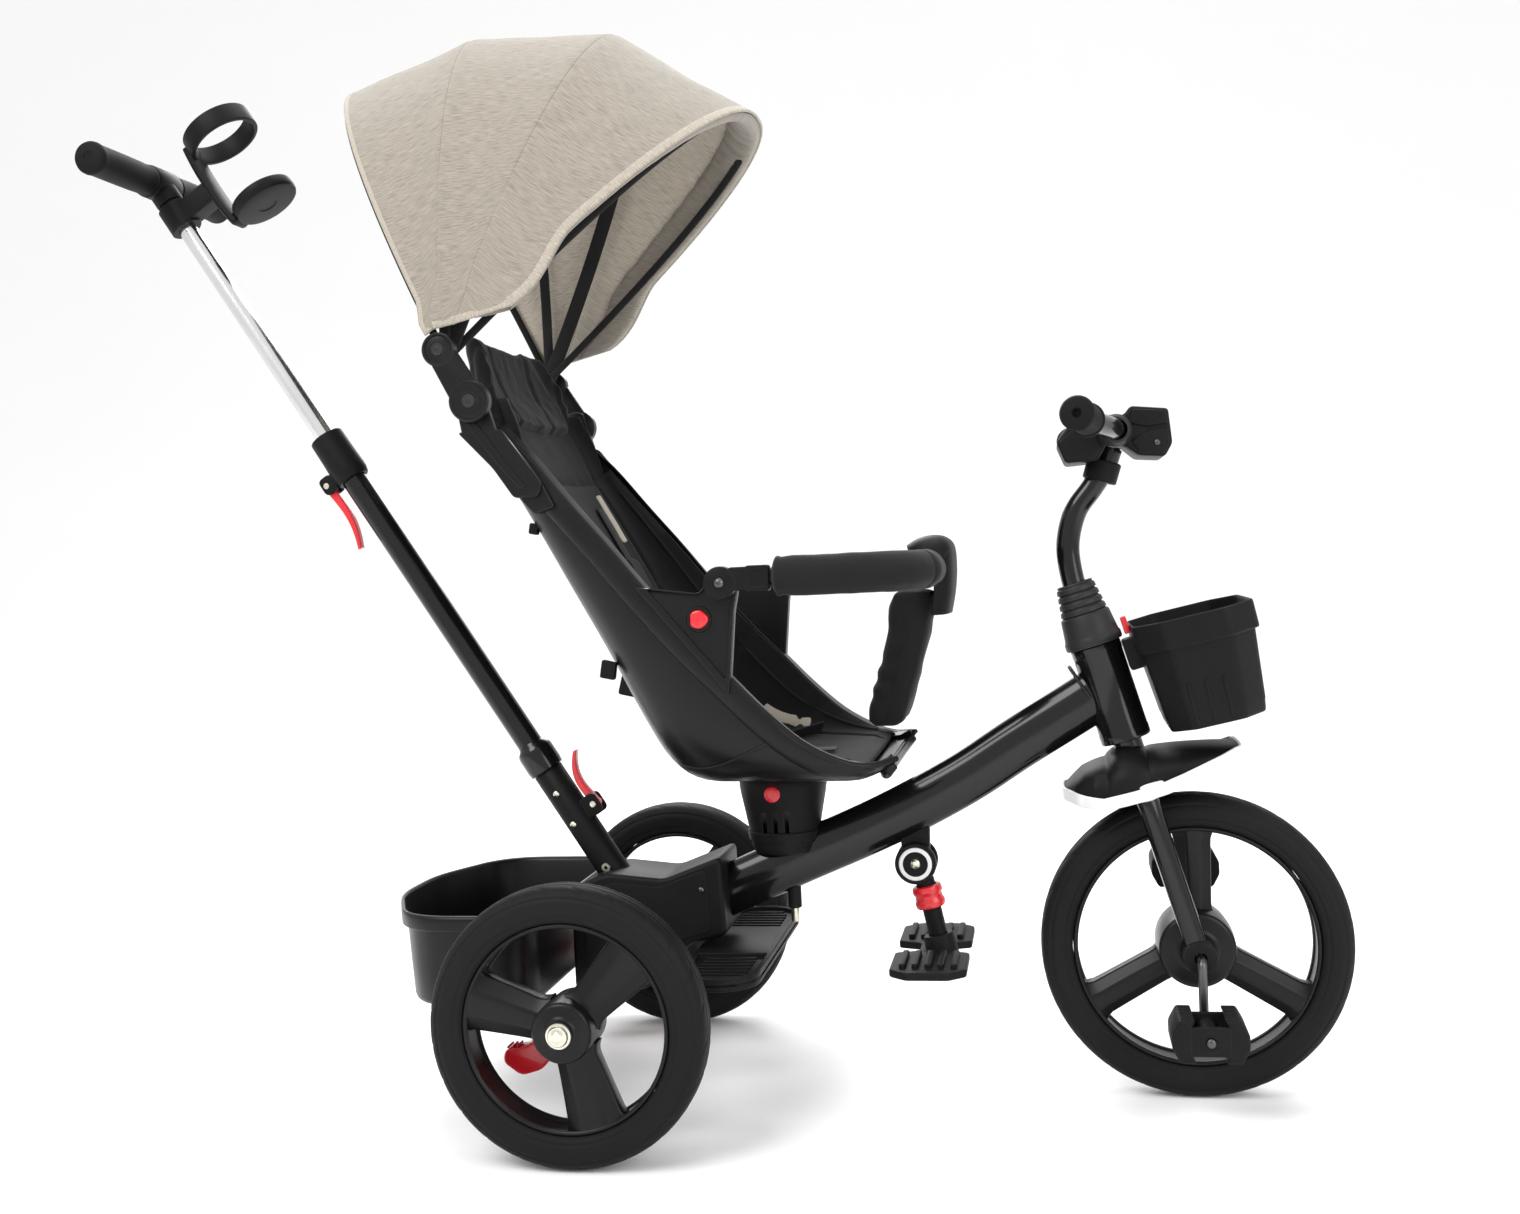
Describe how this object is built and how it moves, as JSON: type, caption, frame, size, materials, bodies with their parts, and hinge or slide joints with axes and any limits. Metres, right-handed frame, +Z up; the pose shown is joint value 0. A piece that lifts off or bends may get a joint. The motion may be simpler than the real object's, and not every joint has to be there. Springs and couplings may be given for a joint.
{
  "type": "children's push tricycle",
  "caption": "Three-wheeled push tricycle with a swivelling bucket seat, bumper bar, folding sun canopy, telescopic parent handle, pedal front wheel, footrest and two baskets.",
  "frame": {"origin": "on the ground, under the middle of the object's box", "axes": "+X forward, +Y to the rider's left, +Z up"},
  "size_m": [1.1888, 0.513, 1.058],
  "materials": {
    "frame_paint": "gloss black powder coat",
    "moulded_black": "fine-grained matt black moulding",
    "satin_black": "satin black moulding",
    "tyre": "matt foam tyre",
    "grip_rubber": "soft black rubber",
    "red_plastic": "glossy red moulding",
    "white_plastic": "white moulding",
    "chrome_tube": "polished",
    "zinc": "zinc plated",
    "dark_steel": "blackened steel",
    "black_fabric": "black woven polyester",
    "foam_sleeve": "black padded sleeve",
    "linen_fabric": "beige melange canvas"
  },
  "bodies": {
    "frame": {"main_tube": "frame_paint", "head_tube": "frame_paint", "rear_cover": "moulded_black", "rear_axle": "zinc", "step_plate": "moulded_black", "rear_basket": "moulded_black", "handle_socket": "moulded_black", "seat_pedestal": "satin_black", "push_tube_lower": "frame_paint", "clamp_sleeve": "moulded_black", "footrest_bracket": "moulded_black", "front_basket": "moulded_black"},
    "pedestal_button": {"pedestal_button": "red_plastic"},
    "basket_clip": {"basket_clip": "red_plastic"},
    "socket_lever": {"socket_lever": "red_plastic"},
    "sleeve_lever": {"sleeve_lever": "red_plastic"},
    "push_handle": {"push_tube_upper": "chrome_tube", "crossbar": "moulded_black", "grip_right": "grip_rubber", "grip_left": "grip_rubber", "cup_holder": "moulded_black"},
    "rear_wheel_right": {"rear_tyre_right": "tyre", "rear_rim_right": "satin_black"},
    "rear_wheel_left": {"rear_tyre_left": "tyre", "rear_rim_left": "satin_black"},
    "brake_right": {"brake_pedal_right": "red_plastic"},
    "brake_left": {"brake_pedal_left": "red_plastic"},
    "steering": {"fork": "frame_paint", "stem_tube": "frame_paint", "steering_bellows": "moulded_black", "handlebar": "frame_paint", "handlebar_console": "moulded_black", "handlebar_grip_right": "grip_rubber", "handlebar_grip_left": "grip_rubber", "mudguard": "moulded_black", "mudguard_band": "white_plastic"},
    "front_wheel": {"front_tyre": "tyre", "front_rim": "satin_black"},
    "crank": {"crankshaft": "dark_steel"},
    "pedal_right": {"pedal_right": "moulded_black"},
    "pedal_left": {"pedal_left": "moulded_black"},
    "footrest": {"footrest_stem": "moulded_black", "footrest_pads": "moulded_black"},
    "footrest_lock": {"footrest_collar": "red_plastic"},
    "seat": {"seat_shell": "satin_black", "seat_liner": "black_fabric", "headrest": "black_fabric", "canopy_mount_right": "moulded_black", "canopy_mount_left": "moulded_black"},
    "seat_button_right": {"side_button_right": "red_plastic"},
    "seat_button_left": {"side_button_left": "red_plastic"},
    "bumper_bar": {"safety_bar": "frame_paint", "bar_foam": "foam_sleeve", "bar_cap": "moulded_black", "crotch_pad": "black_fabric"},
    "canopy_frame": {"canopy_frame": "moulded_black", "canopy_hood": "linen_fabric"},
    "canopy_front": {"canopy_hoop_front": "moulded_black"},
    "canopy_front_middle": {"canopy_hoop_front_middle": "moulded_black"},
    "canopy_rear_middle": {"canopy_hoop_rear_middle": "moulded_black"}
  },
  "joints": [
    {"name": "rear_wheel_right_spin", "type": "hinge", "parent": "frame", "child": "rear_wheel_right", "pos_m": [-0.10063, -0.22, 0.125], "axis": [0, 1, 0], "continuous": true},
    {"name": "rear_wheel_left_spin", "type": "hinge", "parent": "frame", "child": "rear_wheel_left", "pos_m": [-0.10063, 0.22, 0.125], "axis": [0, 1, 0], "continuous": true},
    {"name": "brake_right_press", "type": "hinge", "parent": "frame", "child": "brake_right", "pos_m": [-0.10063, -0.1715, 0.125], "axis": [0, 1, 0], "range_deg": [-14, 0]},
    {"name": "brake_left_press", "type": "hinge", "parent": "frame", "child": "brake_left", "pos_m": [-0.10063, 0.1715, 0.125], "axis": [0, 1, 0], "range_deg": [-14, 0]},
    {"name": "steering_turn", "type": "hinge", "parent": "frame", "child": "steering", "pos_m": [0.39346, 0, 0.3399], "axis": [-0.279, 0, 0.9603], "range_deg": [-40, 40]},
    {"name": "front_wheel_spin", "type": "hinge", "parent": "steering", "child": "front_wheel", "pos_m": [0.45037, 0, 0.144], "axis": [0, 1, 0], "continuous": true},
    {"name": "crank_spin", "type": "hinge", "parent": "steering", "child": "crank", "pos_m": [0.45037, 0, 0.144], "axis": [0, 1, 0], "continuous": true},
    {"name": "pedal_right_spin", "type": "hinge", "parent": "crank", "child": "pedal_right", "pos_m": [0.45037, -0.11, 0.09], "axis": [0, 1, 0], "continuous": true},
    {"name": "pedal_left_spin", "type": "hinge", "parent": "crank", "child": "pedal_left", "pos_m": [0.45037, 0.11, 0.198], "axis": [0, 1, 0], "continuous": true},
    {"name": "handle_length", "type": "slide", "parent": "frame", "child": "push_handle", "axis": [-0.5358, 0, 0.8443], "range_m": [-0.24, 0]},
    {"name": "socket_lever_open", "type": "hinge", "parent": "frame", "child": "socket_lever", "pos_m": [-0.13304, 0, 0.28603], "axis": [0, 1, 0], "range_deg": [0, 80]},
    {"name": "sleeve_lever_open", "type": "hinge", "parent": "frame", "child": "sleeve_lever", "pos_m": [-0.40172, 0, 0.61888], "axis": [0, 1, 0], "range_deg": [0, 80]},
    {"name": "footrest_fold", "type": "hinge", "parent": "frame", "child": "footrest", "pos_m": [0.18937, 0, 0.224], "axis": [0, 1, 0], "range_deg": [0, 60]},
    {"name": "footrest_lock_slide", "type": "slide", "parent": "footrest", "child": "footrest_lock", "axis": [0.2036, 0, -0.979], "range_m": [0, 0.006], "stiffness_N_per_m": 400},
    {"name": "seat_swivel", "type": "hinge", "parent": "frame", "child": "seat", "pos_m": [0.06037, 0, 0.3155], "axis": [0, 0, 1], "range_deg": [-80, 80]},
    {"name": "pedestal_button_press", "type": "slide", "parent": "frame", "child": "pedestal_button", "axis": [0, 1, 0], "range_m": [0, 0.0035], "stiffness_N_per_m": 400},
    {"name": "seat_button_right_press", "type": "slide", "parent": "seat", "child": "seat_button_right", "axis": [0, 1, 0], "range_m": [0, 0.0035], "stiffness_N_per_m": 400},
    {"name": "seat_button_left_press", "type": "slide", "parent": "seat", "child": "seat_button_left", "axis": [0, -1, 0], "range_m": [0, 0.0035], "stiffness_N_per_m": 400},
    {"name": "bumper_bar_swing", "type": "hinge", "parent": "seat", "child": "bumper_bar", "pos_m": [0.04037, 0, 0.506], "axis": [0, 1, 0], "range_deg": [-95, 0]},
    {"name": "canopy_tilt", "type": "hinge", "parent": "seat", "child": "canopy_frame", "pos_m": [-0.18263, 0, 0.679], "axis": [0, 1, 0], "range_deg": [-15, 20]},
    {"name": "canopy_fold", "type": "hinge", "parent": "canopy_frame", "child": "canopy_front", "pos_m": [-0.20963, 0, 0.727], "axis": [0, 1, 0], "range_deg": [-62, 0], "deforming": ["canopy_hood"]},
    {"name": "hoop_front_middle_fold", "type": "hinge", "parent": "canopy_frame", "child": "canopy_front_middle", "pos_m": [-0.20963, 0, 0.727], "axis": [0, 1, 0], "range_deg": [-41.5, 0]},
    {"name": "hoop_rear_middle_fold", "type": "hinge", "parent": "canopy_frame", "child": "canopy_rear_middle", "pos_m": [-0.20963, 0, 0.727], "axis": [0, 1, 0], "range_deg": [-21.5, 0]},
    {"name": "basket_clip_lift", "type": "slide", "parent": "frame", "child": "basket_clip", "axis": [-0.279, 0, 0.9603], "range_m": [0, 0.004]}
  ],
  "couplings": [
    {"joint": "crank_spin", "follows": "front_wheel_spin", "ratio": 1},
    {"joint": "hoop_front_middle_fold", "follows": "canopy_fold", "ratio": 0.66},
    {"joint": "hoop_rear_middle_fold", "follows": "canopy_fold", "ratio": 0.34}
  ]
}
